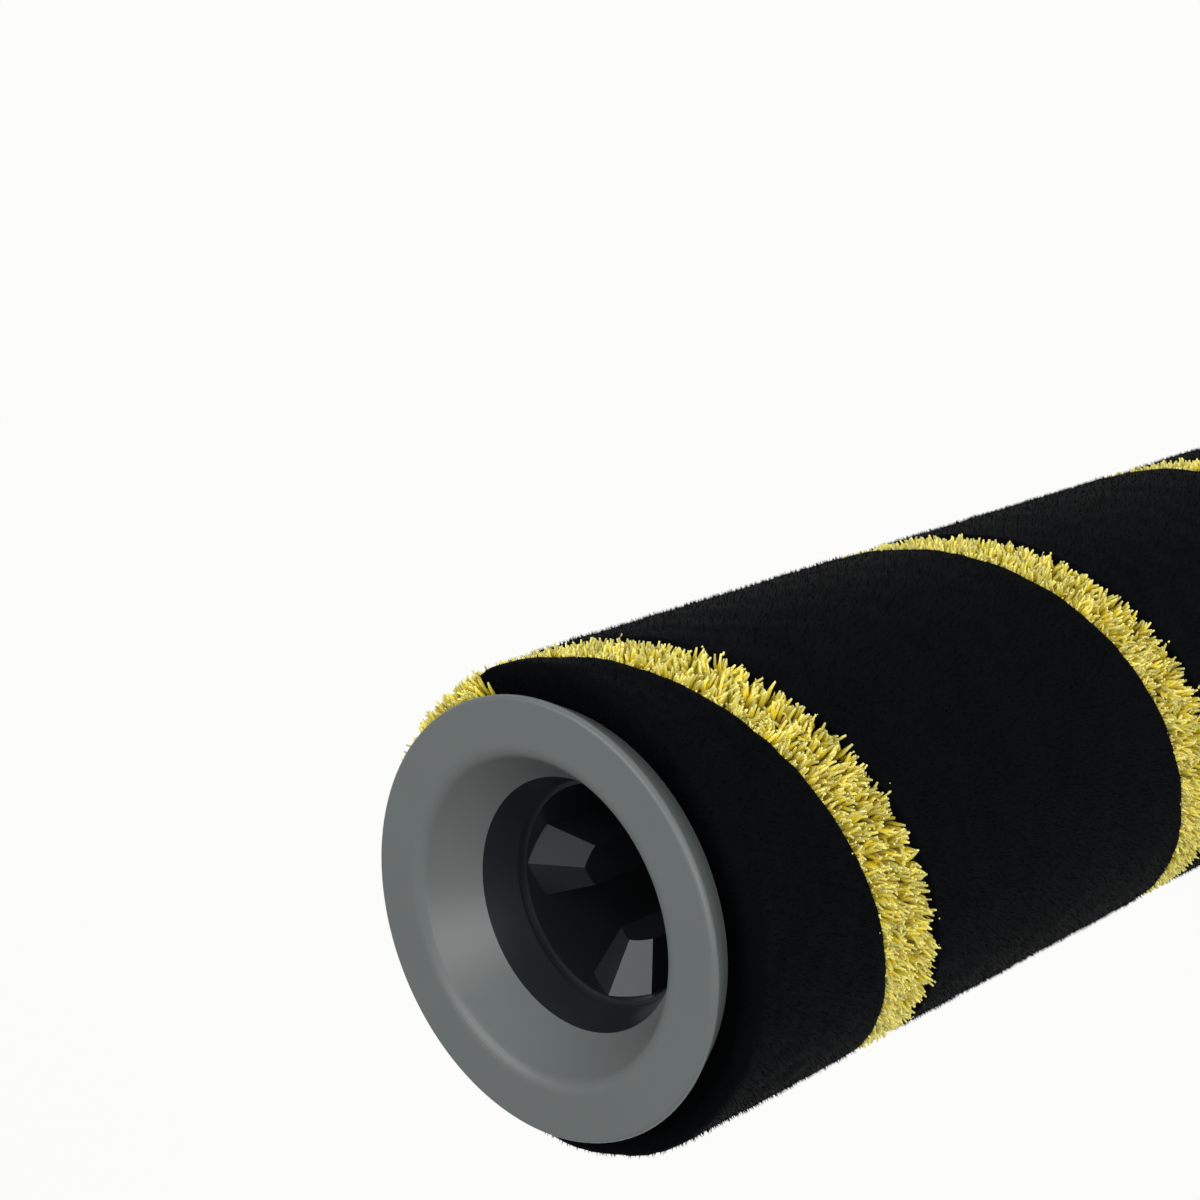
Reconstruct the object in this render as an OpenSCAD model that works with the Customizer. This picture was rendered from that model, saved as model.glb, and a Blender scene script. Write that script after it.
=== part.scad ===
// Pile roller for a floor cleaner: a plastic core tube in a velvet pile sleeve,
// black with one yellow stripe wound round it. A funnelled collar and a toothed
// drive hub close the upper end, a plain cap closes the lower one.
// Millimetres. The roller stands on its cap, with its axis on Z.

/* [Roller] */
// Overall length, from the cap's foot to the collar's face
roller_length = 150; // [110:1:240]

/* [Core tube] */
// Outer radius of the tube
tube_r = 18; // [17:0.25:22]
// Wall of the tube
tube_wall = 2; // [1.2:0.1:2.6]

/* [Pile sleeve] */
// Thickness of the woven backing
backing_thick = 1; // [0.6:0.1:1.6]
// Standing height of the pile
pile_height = 5.75; // [4.5:0.25:9]
// Rounding of the pile's tips at both ends of the sleeve
pile_end_round = 1.2; // [0.8:0.1:2]
// How far the tips at each end of the sleeve lean out over the flange
tip_lean = 2; // [0.5:0.1:2.6]
// Length of pile, from each end, that takes part in the lean
lean_length = 7; // [5:0.5:12]
// Gap between the flange's back edge and the pile that leans over it
lean_gap = 0.4; // [0.3:0.05:0.8]
// Rounding of each colour's edge where the two meet
tuft_round = 0.5; // [0.2:0.1:0.9]
// Rise of the yellow stripe in one turn
stripe_pitch = 56; // [40:1:75]
// Width of the yellow stripe along the axis
stripe_width = 8.2; // [5:0.2:14]
// Distance from the collar's face to the stripe's middle, on the side facing +X
stripe_start = 10.4; // [4:0.2:30]

/* [End flanges] */
// How far a flange reaches past the tube where the pile meets it
flange_overhang = 2.8; // [2:0.1:4]
// How much wider the flange is at its face
flange_flare = 1.4; // [0.4:0.1:2]
// Thickness of each flange
flange_thick = 3.5; // [2.6:0.1:5]
// Rounding of the flange's outer edge
flange_edge = 0.5; // [0.3:0.1:1]

/* [Collar] */
// Radius of the funnel at the face
mouth_r = 16.5; // [15.6:0.1:18]
// Rounding between the face and the funnel
mouth_round = 1.8; // [0.6:0.1:2.4]
// Radius where the funnel meets the hub's throat
throat_r = 12.9; // [12.4:0.1:13.4]
// Depth of the funnel
funnel_depth = 5.5; // [4.4:0.1:6.6]
// Length of the collar's skirt round the hub's nose
skirt_length = 8.5; // [6:0.1:12]

/* [Drive hub] */
// Wall of the hub's nose at the throat's mouth
nose_wall = 1.15; // [0.9:0.05:1.4]
// Length of the tapered throat, from the funnel to the lip
throat_length = 3.7; // [2.4:0.1:4.5]
// Radius of the round lip that centres the drive
lip_r = 11.6; // [11.4:0.05:11.9]
// Length of that lip
lip_length = 0.8; // [0.6:0.1:2.5]
// Radius of the bore behind the lip
bore_r = 11.1; // [10.2:0.1:11.3]
// Depth of the bore, from the lip to the floor
bore_depth = 17; // [13:0.5:30]
// Wall of the hub
hub_wall = 1.7; // [1.2:0.1:2.2]
// Floor of the hub
hub_floor = 2; // [1.2:0.1:4]
// Thickness of the ring that butts against the collar
hub_ring = 1.6; // [1:0.1:3]
// Number of drive dogs
dog_count = 4; // [3:1:6]
// Width of a dog, as an angle about the axis
dog_angle = 40.8; // [24:0.2:44]
// Radius of the dogs' tips
dog_tip_r = 6.1; // [5:0.1:7.5]
// Distance from the lip down to the upper end of a dog's ridge
ridge_start = 0.2; // [0.1:0.05:1.5]
// Fall of a dog's ridge towards its tip, per millimetre
ridge_fall = 0.62; // [0.3:0.01:0.9]
// Fall of a dog's two roof faces to its sides, per millimetre
roof_fall = 0.43; // [0.2:0.01:0.7]
// Turn of the first dog from +X
dog_turn = 79.2; // [0:0.2:90]
// Number of ribs round the hub
rib_count = 8; // [4:1:12]
// Thickness of a rib
rib_thick = 1.6; // [1:0.1:2.4]
// How far the ribs stop short of the hub's end
rib_relief = 2; // [1:0.1:4]

/* [End cap] */
// Wall of the cap's plug
cap_wall = 1.8; // [1.2:0.1:3]
// Length of the plug in the tube
cap_plug = 9; // [5:0.5:20]
// Width of the cap's ring-shaped foot
foot_width = 5.5; // [3:0.1:8]
// Depth of the round recess inside the foot
recess_depth = 1.4; // [0.6:0.1:1.6]
// Rounding of the foot's inner edge
recess_round = 0.6; // [0.3:0.1:0.6]

/* [Fits] */
// Radial gap of the pieces that are pressed into the tube
press_gap = 0.05; // [0.02:0.01:0.15]
// How much further in than the butting ring the ribs end
rib_gap = 0.1; // [0.05:0.05:0.3]
// Radial gap of the glue line under the backing
glue_gap = 0.05; // [0.02:0.01:0.2]
// Gap between the backing and the foot of the pile
nap_gap = 0.2; // [0.1:0.05:0.3]
// Gap between the sleeve's ends and the flanges
sleeve_gap = 0.3; // [0.1:0.05:0.4]
// Gap between the black and the yellow pile
seam_gap = 0.3; // [0.2:0.05:0.5]

/* [Hidden] */
$fn = 96;
// Steps of a rounded edge, and of the sleeve for one full turn
edge_steps = 6;
turn_steps = 48;
// Overlap that makes cuts clean and joins sound
eps = 0.5;
// Height of the pointed end of a wound band
band_tip = 0.6;

flange_back_r = tube_r + flange_overhang;
face_r = flange_back_r + flange_flare;
tube_bore_r = tube_r - tube_wall;
plug_r = tube_bore_r - press_gap;
backing_in_r = tube_r + glue_gap;
backing_out_r = backing_in_r + backing_thick;
pile_in_r = backing_out_r + nap_gap;
pile_out_r = pile_in_r + pile_height;
bend_r = flange_back_r + lean_gap;

// Heights, from the cap's foot up
tube_low = flange_thick;
tube_high = roller_length - flange_thick;
sleeve_low = tube_low + sleeve_gap;
sleeve_high = tube_high - sleeve_gap;
hub_top = roller_length - funnel_depth;
skirt_end = hub_top - skirt_length;
bore_top = hub_top - throat_length - lip_length;
ridge_top = bore_top - ridge_start;
bore_floor = bore_top - bore_depth;
hub_end = bore_floor - hub_floor;
// The hub's nose fits inside the collar's skirt
nose_r = throat_r + nose_wall;
hub_body_r = bore_r + hub_wall;
recess_r = face_r - foot_width;

// Points of an arc about [x, y], from angle a0 to a1
function arc(x, y, r, a0, a1) = [for (i = [0 : edge_steps])
    let (a = a0 + (a1 - a0) * i / edge_steps) [x + r * cos(a), y + r * sin(a)]];

// Half section of a flange's rim, face at height 0 and body below it:
// the round edge and the tapered side
rim_taper = atan2(flange_flare, flange_thick - flange_edge);
rim_edge = concat(
    arc(face_r - flange_edge, -flange_edge, flange_edge, 90, -rim_taper),
    [[flange_back_r, -flange_thick]]);

// Grey collar: flat ring and funnel in one moulding, with a skirt in the tube
funnel_slope = atan2(funnel_depth, mouth_r - throat_r);
module end_collar() {
    color("#61676A")
    translate([0, 0, roller_length])
    rotate_extrude()
    polygon(concat(
        rim_edge,
        [[plug_r, -flange_thick],
         [plug_r, -funnel_depth - skirt_length],
         [nose_r + press_gap, -funnel_depth - skirt_length],
         [nose_r + press_gap, -funnel_depth],
         [throat_r, -funnel_depth]],
        arc(mouth_r + mouth_round * tan(funnel_slope / 2), -mouth_round, mouth_round,
            90 + funnel_slope, 90)));
}

// One drive dog on +X: a wedge of a ring, rooted in the hub's wall, whose top is a
// roof with its ridge along the radius
module drive_dog() {
    half = dog_angle / 2;
    reach = 2 * bore_r;
    root_r = bore_r + hub_wall / 2;
    low = bore_floor - hub_floor / 2;
    high = ridge_top + ridge_start / 2;
    intersection() {
        translate([0, 0, low])
        difference() {
            cylinder(h = high - low, r = root_r);
            translate([0, 0, -eps]) cylinder(h = high - low + 2 * eps, r = dog_tip_r);
        }
        translate([0, 0, low - eps])
        linear_extrude(high - low + 2 * eps)
        polygon([[0, 0], [reach, -reach * tan(half)], [reach, reach * tan(half)]]);
        roof_half(-1);
        roof_half(1);
    }
}

// Everything below one face of the roof
module roof_half(side) {
    size = 4 * bore_r;
    normal = [-ridge_fall, side * roof_fall, 1];
    translate([bore_r, 0, ridge_top])
    rotate([0, acos(1 / norm(normal)), atan2(normal[1], normal[0])])
    translate([-size / 2, -size / 2, -size])
    cube(size);
}

// Dark hub: throat, lip, bore with its dogs, floor, butting ring and ribs in the tube
module drive_hub() {
    color("#2E3234")
    union() {
        rotate_extrude()
        polygon([[throat_r, hub_top], [nose_r, hub_top], [nose_r, skirt_end],
                 [plug_r, skirt_end], [plug_r, skirt_end - hub_ring],
                 [hub_body_r, skirt_end - hub_ring], [hub_body_r, hub_end],
                 [0, hub_end], [0, bore_floor], [bore_r, bore_floor],
                 [bore_r, bore_top], [lip_r, bore_top], [lip_r, bore_top + lip_length]]);
        for (i = [0 : dog_count - 1])
            rotate(dog_turn + i * 360 / dog_count) drive_dog();
        for (i = [0 : rib_count - 1])
            rotate(i * 360 / rib_count) hub_rib();
    }
}

// One rib from the hub's wall out to the tube
module hub_rib() {
    low = hub_end + rib_relief;
    intersection() {
        translate([hub_body_r - hub_wall / 2, -rib_thick / 2, low])
        cube([tube_r, rib_thick, skirt_end - hub_ring / 2 - low]);
        translate([0, 0, low - eps]) cylinder(h = skirt_end - low + eps, r = plug_r - rib_gap);
    }
}

// Core tube between the two flanges
module core_tube() {
    color("#D9DAD6")
    translate([0, 0, tube_low])
    difference() {
        cylinder(h = tube_high - tube_low, r = tube_r);
        translate([0, 0, -eps]) cylinder(h = tube_high - tube_low + 2 * eps, r = tube_bore_r);
    }
}

// Plain cap at the lower end: flange with a ring-shaped foot, and a plug in the tube
module end_cap() {
    color("#61676A")
    mirror([0, 0, 1])
    rotate_extrude()
    polygon(concat(
        rim_edge,
        [[plug_r, -flange_thick],
         [plug_r, -flange_thick - cap_plug],
         [plug_r - cap_wall, -flange_thick - cap_plug],
         [plug_r - cap_wall, -flange_thick],
         [0, -flange_thick],
         [0, -recess_depth],
         [recess_r, -recess_depth]],
        arc(recess_r + recess_round, -recess_round, recess_round, 180, 90)));
}

// Woven backing of the sleeve, glued to the tube
module fabric_backing() {
    color("#1B1C1E")
    translate([0, 0, sleeve_low])
    difference() {
        cylinder(h = sleeve_high - sleeve_low, r = backing_out_r);
        translate([0, 0, -eps]) cylinder(h = sleeve_high - sleeve_low + 2 * eps, r = backing_in_r);
    }
}

// How far a corner of radius r has fallen at distance d from its end
function fall(d, r) = d >= r ? 0 : r - sqrt(r * r - (r - d) * (r - d));

// How far the tips of the pile that stands at height z lean along the axis: nothing
// along the sleeve, more and more towards both ends
function lean(z) = tip_lean
    * (pow(max(0, 1 - (sleeve_high - z) / lean_length), 2)
       - pow(max(0, 1 - (z - sleeve_low) / lean_length), 2));

// Section of a wound band between heights z0 and z1: two corners at the foot of the
// pile, two where it starts to lean, and a row up its face that follows the rounded
// ends and the rounded edges
function band_section(z0, z1) =
    let (fit = min(1, (z1 - z0) / (2.2 * pile_end_round)),
         steps = [for (s = [0, 0.1, 0.35, 1]) s * fit * pile_end_round],
         low = [for (s = steps) z0 + s],
         high = [for (i = [3 : -1 : 0]) z1 - steps[i]])
    concat([[bend_r, z1], [pile_in_r, z1], [pile_in_r, z0], [bend_r, z0]],
           [for (z = concat(low, high))
               [pile_out_r - fall(min(z - sleeve_low, sleeve_high - z), pile_end_round)
                - fall(min(z - z0, z1 - z), tuft_round * fit), z + lean(z)]]);

// A band of pile of the given width, wound with the stripe's pitch; its middle is at
// height start on the side facing +X, and it is trimmed level at both ends of the sleeve
module wound_band(start, width) {
    rise = stripe_pitch / 360;
    first = (sleeve_low + band_tip - width / 2 - start) / rise;
    last = (sleeve_high - band_tip + width / 2 - start) / rise;
    count = ceil((last - first) * turn_steps / 360);
    rings = [for (i = [0 : count])
        let (a = first + (last - first) * i / count, mid = start + rise * a)
        [for (p = band_section(max(sleeve_low, mid - width / 2), min(sleeve_high, mid + width / 2)))
            [p[0] * cos(a), p[0] * sin(a), p[1]]]];
    n = len(rings[0]);
    polyhedron(
        points = [for (ring = rings) each ring],
        faces = concat(
            [for (i = [0 : count - 1]) for (j = [0 : n - 1])
                let (a = i * n + j, b = i * n + (j + 1) % n)
                each [[a, b, b + n], [a, b + n, a + n]]],
            [[for (j = [n - 1 : -1 : 0]) j], [for (j = [0 : n - 1]) count * n + j]]));
}

// Yellow stripe of the pile
stripe_mid = roller_length - stripe_start;
module yellow_stripe() {
    color("#D8C63C") wound_band(stripe_mid, stripe_width);
}

// Black pile, which fills the rest of each turn
module black_pile() {
    color("#0C1014")
    wound_band(stripe_mid - stripe_pitch / 2, stripe_pitch - stripe_width - 2 * seam_gap);
}

end_collar();
drive_hub();
core_tube();
end_cap();
fabric_backing();
black_pile();
yellow_stripe();
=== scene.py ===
# Pile roller of a floor cleaner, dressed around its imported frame. Metres, same frame as the solids.
import math

import bpy
import numpy as np
from mathutils import Matrix, Vector, noise


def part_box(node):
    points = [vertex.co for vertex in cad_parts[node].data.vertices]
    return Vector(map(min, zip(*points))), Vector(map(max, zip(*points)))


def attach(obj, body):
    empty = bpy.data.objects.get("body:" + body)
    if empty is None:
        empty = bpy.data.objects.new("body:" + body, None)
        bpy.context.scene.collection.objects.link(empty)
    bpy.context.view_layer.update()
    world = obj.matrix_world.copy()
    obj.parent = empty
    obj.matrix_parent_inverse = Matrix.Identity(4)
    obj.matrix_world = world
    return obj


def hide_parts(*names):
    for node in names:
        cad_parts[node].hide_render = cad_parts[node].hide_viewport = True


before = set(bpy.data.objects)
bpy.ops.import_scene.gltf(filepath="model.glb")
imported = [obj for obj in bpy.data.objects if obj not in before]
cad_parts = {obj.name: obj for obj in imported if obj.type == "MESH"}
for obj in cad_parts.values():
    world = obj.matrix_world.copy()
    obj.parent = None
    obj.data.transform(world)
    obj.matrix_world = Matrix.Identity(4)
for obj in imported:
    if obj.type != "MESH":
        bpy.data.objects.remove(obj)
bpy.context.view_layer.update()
mm = 0.001

backingLow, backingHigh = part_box("fabric_backing")
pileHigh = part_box("black_pile")[1]
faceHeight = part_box("end_collar")[1].z
print("frame: roller", round(faceHeight / mm, 1), "mm long, pile radius", round(pileHigh.x / mm, 2), "mm")

scene = bpy.context.scene
scene.view_settings.view_transform = "Standard"


# Camera, fitted to the rings of the collar; it lies on its side, as the roller lies in the picture
viewpoint = {
    "lens": 74.46,
    "sensor": 36.0,
    "place": (0.06322, -0.16807, 0.30846),
    "right": (-0.13578, -0.72429, -0.67599),
    "up": (0.98042, 0.0, -0.19693),
    "back": (0.14264, -0.68949, 0.71011),
}


def makeCamera():
    camera = bpy.data.objects.new("camera", bpy.data.cameras.new("camera"))
    scene.collection.objects.link(camera)
    axes = [viewpoint[name] for name in ("right", "up", "back", "place")]
    rows = [[axis[i] for axis in axes] for i in range(3)]
    camera.matrix_world = Matrix(rows + [[0, 0, 0, 1]])
    camera.data.sensor_width = viewpoint["sensor"]
    camera.data.lens = viewpoint["lens"]
    camera.data.clip_start, camera.data.clip_end = 0.01, 10
    scene.camera = camera


makeCamera()


# Nodes: small helpers for trees of both kinds
def addNode(tree, kind, inputs=None, **settings):
    node = tree.nodes.new(kind)
    for name, value in settings.items():
        setattr(node, name, value)
    for name, value in (inputs or {}).items():
        socket = node.inputs[name]
        if isinstance(value, bpy.types.NodeSocket):
            tree.links.new(value, socket)
        else:
            socket.default_value = value
    return node


def number(tree, operation, a, b=0.0):
    return addNode(tree, "ShaderNodeMath", {0: a, 1: b}, operation=operation).outputs[0]


def vector(tree, operation, a, b=(0, 0, 0)):
    return addNode(tree, "ShaderNodeVectorMath", {0: a, 1: b}, operation=operation).outputs[0]


def scaled(tree, a, factor):
    return addNode(tree, "ShaderNodeVectorMath", {0: a, 3: factor}, operation="SCALE").outputs[0]


def blendColour(tree, factor, a, b):
    return addNode(tree, "ShaderNodeMix", {0: factor, 6: a, 7: b}, data_type="RGBA").outputs[2]


def newMaterial(name, settings):
    material = bpy.data.materials.new(name)
    material.use_nodes = True
    shader = material.node_tree.nodes["Principled BSDF"]
    for socket, value in settings.items():
        shader.inputs[socket].default_value = value
    return material, material.node_tree, shader


# Moulded plastic: fine grain, faint flow marks and a little change of gloss
def makeGrainGroup():
    tree = bpy.data.node_groups.new("mouldedGrain", "ShaderNodeTree")
    for name, kind, value in (
        ("Colour", "NodeSocketColor", (0.1, 0.1, 0.1, 1)),
        ("Tone", "NodeSocketFloat", 0.05),
        ("Roughness", "NodeSocketFloat", 0.4),
        ("Gloss Change", "NodeSocketFloat", 0.05),
        ("Grain Size", "NodeSocketFloat", 0.2 * mm),
        ("Grain Depth", "NodeSocketFloat", 0.1),
    ):
        tree.interface.new_socket(name, in_out="INPUT", socket_type=kind).default_value = value
    tree.interface.new_socket("Colour", in_out="OUTPUT", socket_type="NodeSocketColor")
    tree.interface.new_socket("Roughness", in_out="OUTPUT", socket_type="NodeSocketFloat")
    tree.interface.new_socket("Normal", in_out="OUTPUT", socket_type="NodeSocketVector")
    given = tree.nodes.new("NodeGroupInput").outputs
    place = addNode(tree, "ShaderNodeTexCoord").outputs["Object"]
    flow = addNode(tree, "ShaderNodeTexNoise", {"Vector": place, "Scale": 90.0, "Detail": 3.0}).outputs["Fac"]
    fine = addNode(tree, "ShaderNodeTexNoise", {
        "Vector": place,
        "Scale": number(tree, "DIVIDE", 1.0, given["Grain Size"]),
        "Detail": 2.0,
    }).outputs["Fac"]
    shift = number(tree, "MULTIPLY", number(tree, "SUBTRACT", flow, 0.5), given["Tone"])
    shade = number(tree, "ADD", 1.0, number(tree, "MULTIPLY", shift, 2.0))
    colour = scaled(tree, given["Colour"], shade)
    gloss = number(tree, "MULTIPLY", number(tree, "SUBTRACT", fine, 0.5), given["Gloss Change"])
    bump = addNode(tree, "ShaderNodeBump", {
        "Strength": given["Grain Depth"], "Distance": 0.02 * mm, "Height": fine})
    out = tree.nodes.new("NodeGroupOutput").inputs
    tree.links.new(colour, out["Colour"])
    tree.links.new(number(tree, "ADD", given["Roughness"], gloss), out["Roughness"])
    tree.links.new(bump.outputs[0], out["Normal"])
    return tree


grainGroup = makeGrainGroup()
plastics = {
    "greyPlastic": {"colour": (0.128, 0.146, 0.142, 1), "roughness": 0.42, "size": 0.25, "depth": 0.25},
    # the hub's dark charcoal is partly its own colour and partly painted shade of the deep bore
    "hubPlasticAndShade": {"colour": (0.014, 0.018, 0.020, 1), "roughness": 0.3, "size": 0.6, "depth": 0.12},
    "tubePlastic": {"colour": (0.66, 0.67, 0.64, 1), "roughness": 0.5, "size": 0.3, "depth": 0.2},
}


def makePlastic(name):
    finish = plastics[name]
    material, tree, shader = newMaterial(name, {})
    group = addNode(tree, "ShaderNodeGroup", node_tree=grainGroup)
    group.inputs["Colour"].default_value = finish["colour"]
    group.inputs["Roughness"].default_value = finish["roughness"]
    group.inputs["Grain Size"].default_value = finish["size"] * mm
    group.inputs["Grain Depth"].default_value = finish["depth"]
    tree.links.new(group.outputs["Colour"], shader.inputs["Base Color"])
    tree.links.new(group.outputs["Roughness"], shader.inputs["Roughness"])
    tree.links.new(group.outputs["Normal"], shader.inputs["Normal"])
    return material


# Fibres: colour from foot to tip, with painted shade darkening the foot and a painted highlight lightening
# the tip, and each fibre a little lighter or darker
def makeFibreGroup():
    tree = bpy.data.node_groups.new("fibreTone", "ShaderNodeTree")
    for name, kind, value in (
        ("Shaded Foot", "NodeSocketColor", (0.1, 0.1, 0.1, 1)),
        ("Middle", "NodeSocketColor", (0.1, 0.1, 0.1, 1)),
        ("Highlit Tip", "NodeSocketColor", (0.1, 0.1, 0.1, 1)),
        ("Fibre Change", "NodeSocketFloat", 0.2),
        ("Patch Change", "NodeSocketFloat", 0.2),
        ("Patch Size", "NodeSocketFloat", 2 * mm),
    ):
        tree.interface.new_socket(name, in_out="INPUT", socket_type=kind).default_value = value
    tree.interface.new_socket("Colour", in_out="OUTPUT", socket_type="NodeSocketColor")
    given = tree.nodes.new("NodeGroupInput").outputs
    tip = addNode(tree, "ShaderNodeAttribute", attribute_name="tip").outputs["Fac"]
    tone = addNode(tree, "ShaderNodeAttribute", attribute_name="tone").outputs["Fac"]
    place = addNode(tree, "ShaderNodeTexCoord").outputs["Object"]
    patch = addNode(tree, "ShaderNodeTexNoise", {
        "Vector": place,
        "Scale": number(tree, "DIVIDE", 1.0, given["Patch Size"]),
        "Detail": 2.0,
    }).outputs["Fac"]
    # foot to middle is painted shade lifting off, middle to tip is the painted highlight
    low = addNode(tree, "ShaderNodeMapRange", {0: tip, 1: 0.25, 2: 0.7}).outputs[0]
    high = addNode(tree, "ShaderNodeMapRange", {0: tip, 1: 0.75, 2: 1.0}).outputs[0]
    colour = blendColour(tree, low, given["Shaded Foot"], given["Middle"])
    colour = blendColour(tree, high, colour, given["Highlit Tip"])
    shift = number(tree, "MULTIPLY", number(tree, "SUBTRACT", tone, 0.5), given["Fibre Change"])
    drift = number(tree, "MULTIPLY", number(tree, "SUBTRACT", patch, 0.5), given["Patch Change"])
    shade = number(tree, "ADD", 1.0, number(tree, "MULTIPLY", number(tree, "ADD", shift, drift), 2.0))
    out = tree.nodes.new("NodeGroupOutput").inputs
    tree.links.new(scaled(tree, colour, shade), out["Colour"])
    return tree


fibreGroup = makeFibreGroup()
# In each yarn the dark foot colour is painted shade deep in the pile and the lighter tip colour a painted
# highlight; the middle colour is the yarn's own
yarns = {
    "yellowPile": {
        "foot": (0.20, 0.125, 0.006, 1),
        "middle": (0.80, 0.65, 0.035, 1),
        "tip": (0.90, 0.84, 0.28, 1),
        "fibre": 0.35, "patch": 0.25, "patchSize": 2.5,
        "shader": {
            "Roughness": 0.62, "Specular IOR Level": 0.25, "Sheen Weight": 0.1, "Sheen Roughness": 0.4},
    },
    "blackPile": {
        "foot": (0.0012, 0.0016, 0.0022, 1),
        "middle": (0.002, 0.003, 0.0042, 1),
        "tip": (0.003, 0.004, 0.0055, 1),
        "fibre": 0.5, "patch": 0.5, "patchSize": 6.0,
        "shader": {"Roughness": 0.8, "Specular IOR Level": 0.04},
    },
}


def makeYarn(name):
    finish = yarns[name]
    material, tree, shader = newMaterial(name, finish["shader"])
    group = addNode(tree, "ShaderNodeGroup", node_tree=fibreGroup)
    for socket, key in (("Shaded Foot", "foot"), ("Middle", "middle"), ("Highlit Tip", "tip"),
                        ("Fibre Change", "fibre"), ("Patch Change", "patch")):
        group.inputs[socket].default_value = finish[key]
    group.inputs["Patch Size"].default_value = finish["patchSize"] * mm
    tree.links.new(group.outputs["Colour"], shader.inputs["Base Color"])
    place = addNode(tree, "ShaderNodeTexCoord").outputs["Object"]
    fuzz = addNode(tree, "ShaderNodeTexNoise", {
        "Vector": place, "Scale": 5000.0, "Detail": 1.0}).outputs["Fac"]
    bump = addNode(tree, "ShaderNodeBump", {"Strength": 0.3, "Distance": 0.03 * mm, "Height": fuzz})
    tree.links.new(bump.outputs[0], shader.inputs["Normal"])
    return material


# Woven backing: a plain weave seen as crossed ribs that follow the tube round
def makeWeave():
    material, tree, shader = newMaterial("backingFabric", {"Roughness": 0.85, "Specular IOR Level": 0.2})
    place = addNode(tree, "ShaderNodeTexCoord").outputs["Object"]
    split = addNode(tree, "ShaderNodeSeparateXYZ", {0: place}).outputs
    turn = number(tree, "ARCTAN2", split[1], split[0])
    warp = number(tree, "SINE", number(tree, "MULTIPLY", turn, 150.0))
    weft = number(tree, "SINE", number(tree, "MULTIPLY", split[2], 2 * math.pi / (0.8 * mm)))
    height = number(tree, "MULTIPLY", warp, weft)
    # painted shade: the colour darkens in the weave's hollows and lightens on its ribs
    shade = addNode(tree, "ShaderNodeMapRange", {0: height, 1: -1.0, 2: 1.0, 3: 0.6, 4: 1.2}).outputs[0]
    tree.links.new(scaled(tree, (0.011, 0.012, 0.013), shade), shader.inputs["Base Color"])
    bump = addNode(tree, "ShaderNodeBump", {"Strength": 0.6, "Distance": 0.1 * mm, "Height": height})
    tree.links.new(bump.outputs[0], shader.inputs["Normal"])
    return material


materials = {name: makePlastic(name) for name in plastics}
materials.update({name: makeYarn(name) for name in yarns})
materials["backingFabric"] = makeWeave()
for nodeName, finish in (
    ("end_collar", "greyPlastic"), ("end_cap", "greyPlastic"), ("drive_hub", "hubPlasticAndShade"),
    ("core_tube", "tubePlastic"), ("fabric_backing", "backingFabric"),
    ("black_pile", "blackPile"), ("yellow_stripe", "yellowPile"),
):
    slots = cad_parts[nodeName].data.materials
    slots.clear()
    slots.append(materials[finish])
print("materials:", ", ".join(materials))


# Sleeve: the wound bands of pile (mm), with the sizes of the solids but less lean at the ends
sleeve = {
    "low": backingLow.z / mm,
    "high": backingHigh.z / mm,
    "root": 19.25,  # foot of the pile
    "bend": 21.2,  # where the pile clears the flange and may lean
    "radius": pileHigh.x / mm,
    "pitch": 56.0,
    "stripeWidth": 8.2,
    "stripeMiddle": 139.6,  # height of the stripe's middle on the side facing +X
    "tipLean": 1.2,
    "leanLength": 7.0,
    "endRound": 1.2,
    "edgeRound": 0.5,
    "seam": 0.3,
    "point": 0.15,  # height of a band's pointed end
}


def leanAt(height):
    top = np.clip(1 - (sleeve["high"] - height) / sleeve["leanLength"], 0, None) ** 2
    foot = np.clip(1 - (height - sleeve["low"]) / sleeve["leanLength"], 0, None) ** 2
    return sleeve["tipLean"] * (top - foot)


def fallAt(distance, radius):
    inside = np.clip(radius - distance, 0, radius)
    return radius - np.sqrt(radius ** 2 - inside ** 2)


def unevenness(point, size, seed):
    return noise.noise(Vector((point[0] / size + seed, point[1] / size, point[2] / size)))


black = {
    "name": "blackPile", "width": sleeve["pitch"] - sleeve["stripeWidth"] - 2 * sleeve["seam"] + 0.5,
    "middle": sleeve["stripeMiddle"] - sleeve["pitch"] / 2, "radius": sleeve["radius"] - 0.25,
    "step": 1.6, "rows": 50, "wall": 4, "swell": ((3.5, 0.16), (1.2, 0.10)),
}
bed = {
    "name": "stripeBed", "width": sleeve["stripeWidth"] + 0.4, "middle": sleeve["stripeMiddle"],
    "radius": 21.7, "step": 2.4, "rows": 10, "wall": 2, "swell": ((2.0, 0.12),),
}


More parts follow.
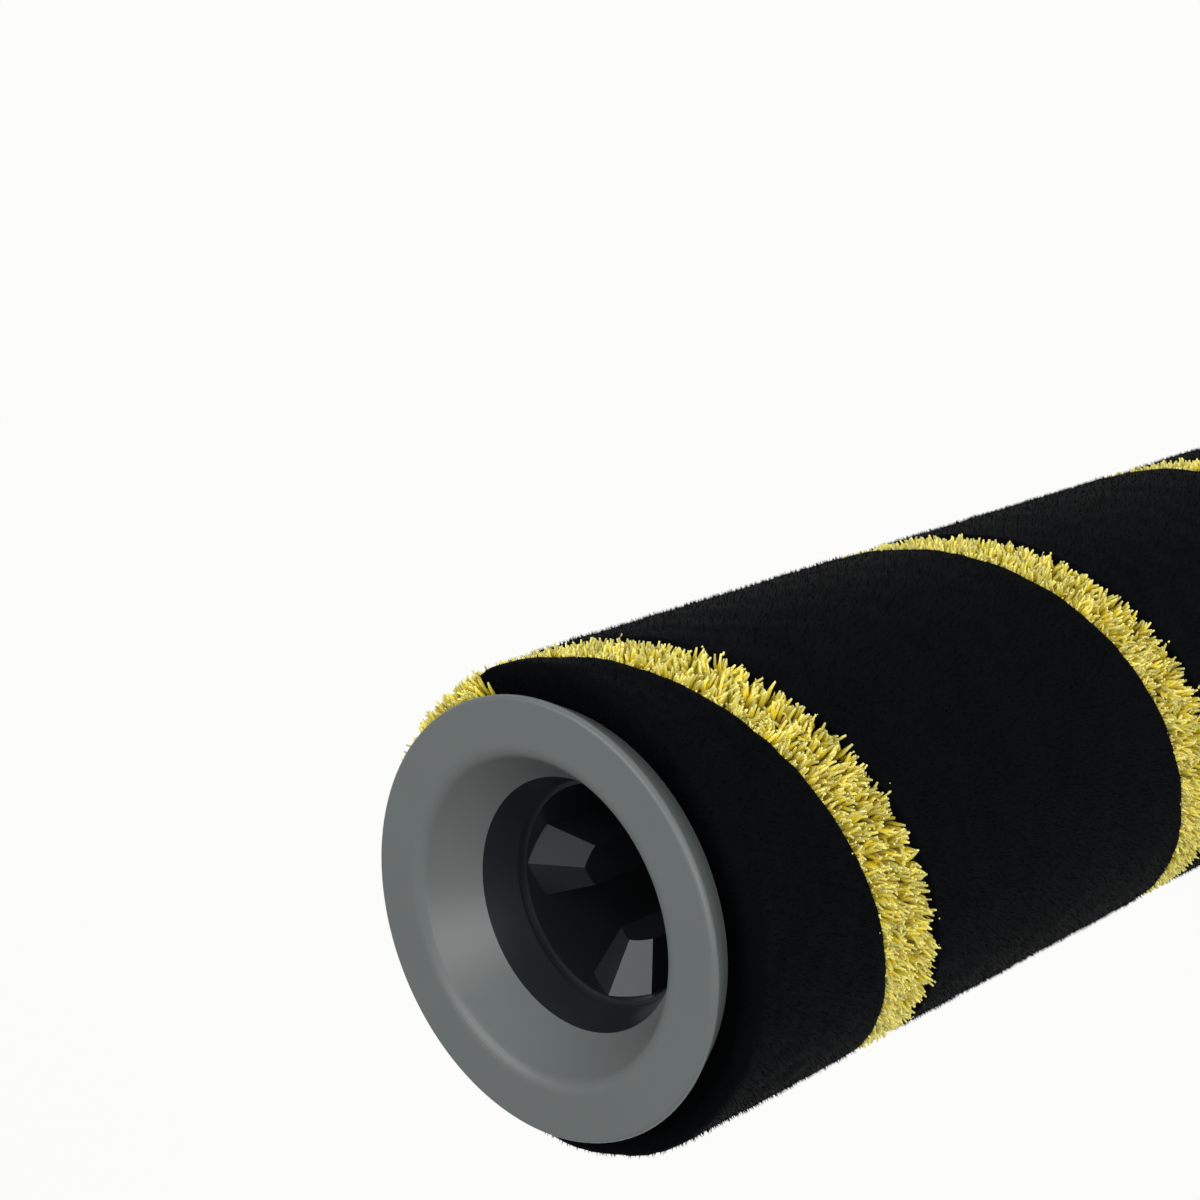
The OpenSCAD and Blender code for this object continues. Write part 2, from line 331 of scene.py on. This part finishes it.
# One wound band as a closed mesh, with a direction and a cover for the fibres on each point
def windBand(band, share=(0.0, 1.0)):
    low, high, half = sleeve["low"], sleeve["high"], band["width"] / 2
    rise = sleeve["pitch"] / 360
    first = (low + sleeve["point"] - half - band["middle"]) / rise
    last = (high - sleeve["point"] + half - band["middle"]) / rise
    count = math.ceil((last - first) / band["step"])
    steps = [i for i in range(count + 1) if share[0] * count <= i <= share[1] * count + 1e-6]
    edge = np.array([0, 0.15, 0.4, 0.8, 1.4])
    points, stands, covers = [], [], []
    for i in steps:
        angle = first + (last - first) * i / count
        middle = band["middle"] + rise * angle
        z0, z1 = max(low, middle - half), min(high, middle + half)
        fit = min(1, (z1 - z0) / 3.6)
        inner = np.linspace(z0 + 1.4 * fit, z1 - 1.4 * fit, band["rows"] - 8)[1:-1]
        z = np.concatenate([z0 + edge * fit, inner, z1 - edge[::-1] * fit])
        toEnd, toEdge = np.minimum(z - low, high - z), np.minimum(z - z0, z1 - z)
        r = band["radius"] - fallAt(toEnd, sleeve["endRound"]) - fallAt(toEdge, sleeve["edgeRound"] * fit)
        wall = np.arange(1, band["wall"]) / band["wall"]
        lowWall = [(sleeve["bend"] + (r[0] - sleeve["bend"]) * t, z0, t) for t in wall]
        highWall = [(sleeve["bend"] + (r[-1] - sleeve["bend"]) * t, z1, t) for t in wall[::-1]]
        bend, root = sleeve["bend"], sleeve["root"]
        rows = [(bend, z1, 0), (root, z1, 0), (root, z0, 0), (bend, z0, 0)]
        rows = rows + lowWall + list(zip(r, z, [1] * len(z))) + highWall
        wallEnd = 4 + len(lowWall)
        cos, sin = math.cos(math.radians(angle)), math.sin(math.radians(angle))
        for j, (radius, height, t) in enumerate(rows):
            lean = float(leanAt(height)) * max(0, (radius - bend) / (sleeve["radius"] - bend))
            onFace = wallEnd <= j < wallEnd + len(z)
            lowEnd, highEnd = height <= low + 1e-6, height >= high - 1e-6
            if j >= 4:
                spot = (radius * cos, radius * sin, height)
                for k, (size, depth) in enumerate(band["swell"]):
                    radius = radius + depth * unevenness(spot, size, 7.3 * k) * (1 if onFace else 0.4)
            points.append((radius * cos, radius * sin, height + lean))
            slope = float(leanAt(height)) / (sleeve["radius"] - sleeve["bend"])
            slope += (0.15 if highEnd else -0.15 if lowEnd else 0) * (0 if onFace else 1)
            stands.append((cos, sin, slope))
            covers.append(1.0 if onFace or (j >= 4 and (lowEnd or highEnd)) else 0.0)
    n = 4 + 2 * (band["wall"] - 1) + band["rows"]
    faces = [[a * n + j, a * n + (j + 1) % n, (a + 1) * n + (j + 1) % n, (a + 1) * n + j]
             for a in range(len(steps) - 1) for j in range(n)]
    faces += [list(range(n))[::-1], [(len(steps) - 1) * n + j for j in range(n)]]
    mesh = bpy.data.meshes.new(band["name"])
    mesh.from_pydata((np.array(points) * mm).tolist(), [], faces)
    stand = mesh.attributes.new("stand", "FLOAT_VECTOR", "POINT")
    stand.data.foreach_set("vector", np.array(stands, dtype=np.float32).ravel())
    cover = mesh.attributes.new("cover", "FLOAT", "POINT")
    cover.data.foreach_set("value", np.array(covers, dtype=np.float32))
    mesh.update()
    return mesh


def linkPiece(name, mesh):
    piece = bpy.data.objects.new(name, mesh)
    scene.collection.objects.link(piece)
    return piece


def settlePiece(piece, slotName, *nodes):
    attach(piece, "root")
    if nodes:
        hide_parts(*nodes)


def fillAttributes(mesh, values):
    for name, value in values.items():
        attribute = mesh.attributes.new(name, "FLOAT", "POINT")
        attribute.data.foreach_set("value", np.full(len(mesh.vertices), value, dtype=np.float32))


def makeSurface(band, finish, slotName, nodeName, tip):
    mesh = windBand(band)
    for name in ("stand", "cover"):
        mesh.attributes.remove(mesh.attributes[name])
    # a low tip value gives the surface the foot's painted shade
    fillAttributes(mesh, {"tip": tip, "tone": 0.5})
    mesh.shade_smooth()
    mesh.materials.append(materials[finish])
    piece = linkPiece(band["name"], mesh)
    settlePiece(piece, slotName, nodeName)
    mesh.calc_loop_triangles()
    print(band["name"] + ":", len(mesh.loop_triangles), "triangles")


# Geometry Nodes: a named tree with its inputs
def newTree(name, inputs):
    tree = bpy.data.node_groups.new(name, "GeometryNodeTree")
    tree.interface.new_socket("Geometry", in_out="INPUT", socket_type="NodeSocketGeometry")
    for label, kind in inputs.items():
        tree.interface.new_socket(label, in_out="INPUT", socket_type="NodeSocket" + kind)
    tree.interface.new_socket("Geometry", in_out="OUTPUT", socket_type="NodeSocketGeometry")
    return tree, tree.nodes.new("NodeGroupInput").outputs


def readAttribute(tree, name, kind):
    return addNode(tree, "GeometryNodeInputNamedAttribute", {"Name": name}, data_type=kind).outputs[0]


def storeAttribute(tree, geometry, name, value, kind):
    return addNode(tree, "GeometryNodeStoreNamedAttribute", {
        "Geometry": geometry, "Name": name, "Value": value}, data_type=kind, domain="POINT").outputs[0]


def randomVector(tree, seed, offset):
    return addNode(tree, "FunctionNodeRandomValue", {
        0: (-1, -1, -1), 1: (1, 1, 1), "Seed": number(tree, "ADD", seed, offset),
    }, data_type="FLOAT_VECTOR").outputs[0]


def randomNumber(tree, seed, offset, low=0.0, high=1.0):
    return addNode(tree, "FunctionNodeRandomValue", {
        2: low, 3: high, "Seed": number(tree, "ADD", seed, offset),
    }, data_type="FLOAT").outputs[1]


def centredNoise(tree, place, size):
    cloud = addNode(tree, "ShaderNodeTexNoise", {
        "Vector": place, "Scale": number(tree, "DIVIDE", 1.0, size), "Detail": 1.0}).outputs["Color"]
    return vector(tree, "SUBTRACT", cloud, (0.5, 0.5, 0.5))


fibreInputs = {
    "Density": "Float", "Seed": "Int", "Length": "Float", "Length Spread": "Float", "Thickness": "Float",
    "Lean": "Float", "Stray": "Float", "Clump Size": "Float", "Material": "Material",
}


# Scattered feet of the fibres, each with its direction, tone and length on it
def scatterFeet(tree, given):
    density = number(tree, "MULTIPLY", given["Density"], readAttribute(tree, "cover", "FLOAT"))
    points = addNode(tree, "GeometryNodeDistributePointsOnFaces", {
        "Mesh": given["Geometry"], "Density": density, "Seed": given["Seed"]}).outputs[0]
    place = addNode(tree, "GeometryNodeInputPosition").outputs[0]
    clump = scaled(tree, centredNoise(tree, place, given["Clump Size"]),
                   number(tree, "MULTIPLY", given["Lean"], 2.0))
    stray = scaled(tree, randomVector(tree, given["Seed"], 11.0), given["Stray"])
    points = storeAttribute(tree, points, "bend", vector(tree, "ADD", clump, stray), "FLOAT_VECTOR")
    points = storeAttribute(tree, points, "tone", randomNumber(tree, given["Seed"], 23.0), "FLOAT")
    longer = number(tree, "ADD", 1.0, number(tree, "MULTIPLY", given["Length Spread"],
                                             randomNumber(tree, given["Seed"], 37.0, -1.0, 1.0)))
    reach = number(tree, "MULTIPLY", given["Length"], longer)
    return storeAttribute(tree, points, "reach", reach, "FLOAT"), place


def endTree(tree, geometry, given, spare):
    geometry = addNode(tree, "GeometryNodeRealizeInstances", {0: geometry}).outputs[0]
    for name in spare:
        geometry = addNode(tree, "GeometryNodeRemoveAttribute", {0: geometry, "Name": name}).outputs[0]
    geometry = addNode(tree, "GeometryNodeSetMaterial", {
        0: geometry, "Material": given["Material"]}).outputs[0]
    tree.links.new(geometry, tree.nodes.new("NodeGroupOutput").inputs[0])


# Yarn strands: bent tubes that stand on the bed and lean in small clumps
def makeStrandTree():
    inputs = dict(fibreInputs)
    inputs.update({"Points": "Int", "Sides": "Int", "Wave": "Float", "Wave Size": "Float"})
    tree, given = newTree("standingStrands", inputs)
    points, place = scatterFeet(tree, given)
    points = storeAttribute(tree, points, "foot", place, "FLOAT_VECTOR")
    line = addNode(tree, "GeometryNodeCurvePrimitiveLine", {"End": (0, 0, 1)}).outputs[0]
    line = addNode(tree, "GeometryNodeResampleCurve", {"Curve": line, "Count": given["Points"]}).outputs[0]
    lines = addNode(tree, "GeometryNodeInstanceOnPoints", {"Points": points, "Instance": line}).outputs[0]
    lines = addNode(tree, "GeometryNodeRealizeInstances", {0: lines}).outputs[0]
    along = addNode(tree, "GeometryNodeSplineParameter").outputs["Factor"]
    lines = storeAttribute(tree, lines, "tip", along, "FLOAT")
    tip = readAttribute(tree, "tip", "FLOAT")
    bend = scaled(tree, readAttribute(tree, "bend", "FLOAT_VECTOR"),
                  number(tree, "ADD", 0.35, number(tree, "MULTIPLY", tip, 0.65)))
    way = vector(tree, "NORMALIZE", vector(tree, "ADD", readAttribute(tree, "stand", "FLOAT_VECTOR"), bend))
    reach = number(tree, "MULTIPLY", readAttribute(tree, "reach", "FLOAT"), tip)
    spot = vector(tree, "ADD", readAttribute(tree, "foot", "FLOAT_VECTOR"), scaled(tree, way, reach))
    sway = scaled(tree, centredNoise(tree, spot, given["Wave Size"]),
                  number(tree, "MULTIPLY", given["Wave"], tip))
    lines = addNode(tree, "GeometryNodeSetPosition", {
        0: lines, "Position": vector(tree, "ADD", spot, sway)}).outputs[0]
    profile = addNode(tree, "GeometryNodeCurvePrimitiveCircle", {
        "Resolution": given["Sides"], "Radius": 1.0}).outputs[0]
    narrow = number(tree, "SUBTRACT", 1.0, number(tree, "MULTIPLY", number(tree, "POWER", tip, 4.0), 0.6))
    tubes = addNode(tree, "GeometryNodeCurveToMesh", {
        "Curve": lines, "Profile Curve": profile, "Fill Caps": True,
        "Scale": number(tree, "MULTIPLY", number(tree, "MULTIPLY", given["Thickness"], 0.5), narrow),
    }).outputs[0]
    tubes = addNode(tree, "GeometryNodeSetShadeSmooth", {0: tubes}).outputs[0]
    endTree(tree, tubes, given, ("foot", "bend", "reach", "stand", "cover"))
    return tree


# Velour nap: short pointed fibres with three sides
def makeNapTree():
    inputs = dict(fibreInputs)
    inputs["Sink"] = "Float"
    tree, given = newTree("velourNap", inputs)
    points, place = scatterFeet(tree, given)
    way = vector(tree, "NORMALIZE", vector(tree, "ADD", readAttribute(tree, "stand", "FLOAT_VECTOR"),
                                           readAttribute(tree, "bend", "FLOAT_VECTOR")))
    points = addNode(tree, "GeometryNodeSetPosition", {
        0: points, "Offset": scaled(tree, way, number(tree, "MULTIPLY", given["Sink"], -1.0))}).outputs[0]
    spike = addNode(tree, "GeometryNodeMeshCone", {
        "Vertices": 3, "Radius Top": 0.0, "Radius Bottom": 0.5, "Depth": 1.0}).outputs[0]
    spot = addNode(tree, "GeometryNodeInputPosition").outputs[0]
    rise = addNode(tree, "ShaderNodeSeparateXYZ", {0: spot}).outputs[2]
    spike = storeAttribute(tree, spike, "tip", rise, "FLOAT")
    turn = addNode(tree, "FunctionNodeAlignRotationToVector", {"Vector": way}, axis="Z").outputs[0]
    size = addNode(tree, "ShaderNodeCombineXYZ", {
        0: given["Thickness"], 1: given["Thickness"], 2: readAttribute(tree, "reach", "FLOAT")}).outputs[0]
    spikes = addNode(tree, "GeometryNodeInstanceOnPoints", {
        "Points": points, "Instance": spike, "Rotation": turn, "Scale": size}).outputs[0]
    endTree(tree, spikes, given, ("bend", "reach", "stand", "cover", "UVMap"))
    return tree


def growFibres(name, tree, band, share, values):
    source = linkPiece(name + "Source", windBand(band, share))
    modifier = source.modifiers.new("grow", "NODES")
    modifier.node_group = tree
    for item in tree.interface.items_tree:
        if item.in_out == "INPUT" and item.name in values:
            modifier[item.identifier] = values[item.name]
    evaluated = source.evaluated_get(bpy.context.evaluated_depsgraph_get())
    mesh = bpy.data.meshes.new_from_object(evaluated)
    mesh.name = name
    source.modifiers.clear()
    bpy.data.objects.remove(source)
    if not mesh.materials:
        mesh.materials.append(values["Material"])
    piece = linkPiece(name, mesh)
    mesh.calc_loop_triangles()
    print(name + ":", len(mesh.loop_triangles), "triangles")
    return piece


# both surfaces sit near the shaded foot colour: painted shade under the yellow strands and under the black
# nap
makeSurface(black, "blackPile", "black_pile", "black_pile", 0.3)
makeSurface(bed, "yellowPile", "yellow_pile", "yellow_stripe", 0.2)

strands = {
    "Density": 4.2e6, "Length": 3.0 * mm, "Length Spread": 0.1, "Thickness": 0.55 * mm,
    "Lean": 0.95, "Stray": 0.22, "Clump Size": 1.5 * mm, "Points": 5, "Sides": 4,
    "Wave": 1.2 * mm, "Wave Size": 1.2 * mm, "Material": materials["yellowPile"],
}
strandTree = makeStrandTree()
for index, letter in enumerate("ABC"):
    part = growFibres("stripeStrands" + letter, strandTree, bed, (index / 3, (index + 1) / 3),
                      dict(strands, Seed=5 + index))
    settlePiece(part, "yellow_pile", "yellow_stripe")

nap = {
    "Density": 4.2e6, "Length": 0.75 * mm, "Length Spread": 0.25, "Thickness": 0.22 * mm,
    "Lean": 0.4, "Stray": 0.25, "Clump Size": 2.0 * mm, "Sink": 0.45 * mm, "Material": materials["blackPile"],
}
napTree = makeNapTree()
for index, letter in enumerate("AB"):
    part = growFibres("blackNap" + letter, napTree, black, (index / 2, (index + 1) / 2),
                      dict(nap, Seed=31 + index))
    settlePiece(part, "black_pile", "black_pile")


# Studio: pale floor and backdrop, one large soft lamp above and a weaker one in front
studio = {
    "world": 0.3,
    "lamps": (
        # name, direction from the object, distance, size, watts
        ("mainLamp", (0.46, 0.10, 0.88), 0.75, 0.6, 2.8),
        ("fillLamp", (0.15, -0.85, 0.50), 1.0, 0.8, 5.5),
    ),
    "floorGlow": 0.93,
    "floorPaint": 0.85,
}


def cameraMask(tree):
    rays = tree.nodes.new("ShaderNodeLightPath").outputs
    seen = number(tree, "MAXIMUM", rays["Is Camera Ray"], rays["Is Glossy Ray"])
    return number(tree, "MAXIMUM", seen, rays["Is Transmission Ray"])


def makeStudio():
    world = bpy.data.worlds.new("studio")
    scene.world = world
    world.use_nodes = True
    tree = world.node_tree
    light = tree.nodes["Background"]
    light.inputs[0].default_value = (1, 1, 1, 1)
    light.inputs[1].default_value = studio["world"]
    white = addNode(tree, "ShaderNodeBackground", {0: (1, 1, 1, 1), 1: 1.0})
    rays = tree.nodes.new("ShaderNodeLightPath").outputs
    mix = addNode(tree, "ShaderNodeMixShader", {
        0: rays["Is Camera Ray"], 1: light.outputs[0], 2: white.outputs[0]})
    tree.links.new(mix.outputs[0], tree.nodes["World Output"].inputs[0])

    mesh = bpy.data.meshes.new("floor")
    half = 2.5
    corners = [(-half, -half, 0), (half, -half, 0), (half, half, 0), (-half, half, 0)]
    mesh.from_pydata(corners, [], [(0, 1, 2, 3)])
    floor = linkPiece("floor", mesh)
    material = bpy.data.materials.new("paleFloor")
    material.use_nodes = True
    tree = material.node_tree
    tree.nodes.clear()
    paint = addNode(tree, "ShaderNodeBsdfDiffuse", {0: (studio["floorPaint"],) * 3 + (1,)})
    glow = addNode(tree, "ShaderNodeEmission", {0: (1, 1, 0.985, 1), 1: 1.0})
    share = number(tree, "MULTIPLY", cameraMask(tree), studio["floorGlow"])
    mix = addNode(tree, "ShaderNodeMixShader", {0: share, 1: paint.outputs[0], 2: glow.outputs[0]})
    addNode(tree, "ShaderNodeOutputMaterial", {0: mix.outputs[0]})
    mesh.materials.append(material)

    target = Vector((0, 0, 0.5 * faceHeight))
    for name, direction, distance, size, power in studio["lamps"]:
        way = Vector(direction).normalized()
        lamp = bpy.data.objects.new(name, bpy.data.lights.new(name, "AREA"))
        scene.collection.objects.link(lamp)
        lamp.data.shape = "DISK"
        lamp.data.size = size
        lamp.data.energy = power
        lamp.location = target + way * distance
        lamp.rotation_mode = "QUATERNION"
        lamp.rotation_quaternion = way.to_track_quat("Z", "Y")


makeStudio()
